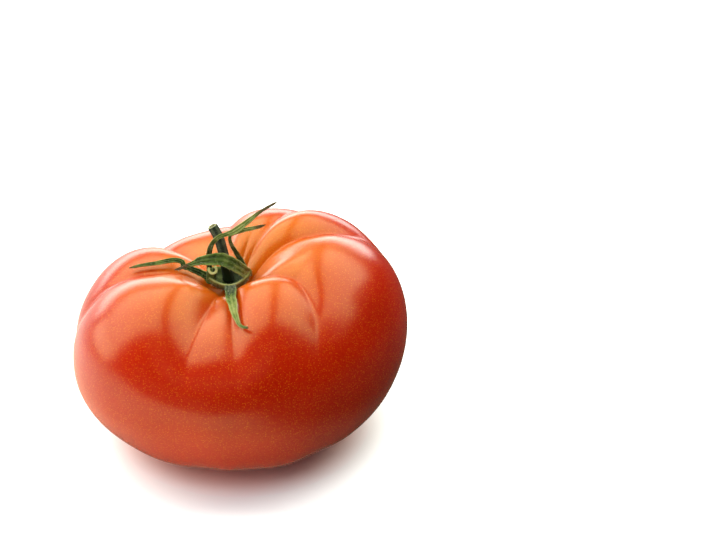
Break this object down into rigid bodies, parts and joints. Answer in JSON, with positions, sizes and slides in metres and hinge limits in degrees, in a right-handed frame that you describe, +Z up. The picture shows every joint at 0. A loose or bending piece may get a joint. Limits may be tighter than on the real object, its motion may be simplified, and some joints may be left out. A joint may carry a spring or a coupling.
{
  "type": "beefsteak tomato",
  "caption": "Ripe ribbed tomato, broad and flattened, with a deep stem pit, a green calyx of curling sepals and a cut stub of stalk; food that rests on its blossom end.",
  "frame": {"origin": "middle of the small flat spot under the fruit that it rests on", "axes": "+Z up, out of the stem pit; -Y towards the side of the fruit seen first, with the low front ribs; +X to the right of that side"},
  "size_m": [0.0993, 0.0934, 0.0746],
  "materials": {
    "fruit": "smooth glossy ripe red skin",
    "calyx": "softly hairy green leaf",
    "stalk": "dull dark green stem with a pale cut end"
  },
  "bodies": {
    "root": {"fruit": "fruit", "calyx": "calyx", "stalk": "stalk"}
  },
  "joints": []
}
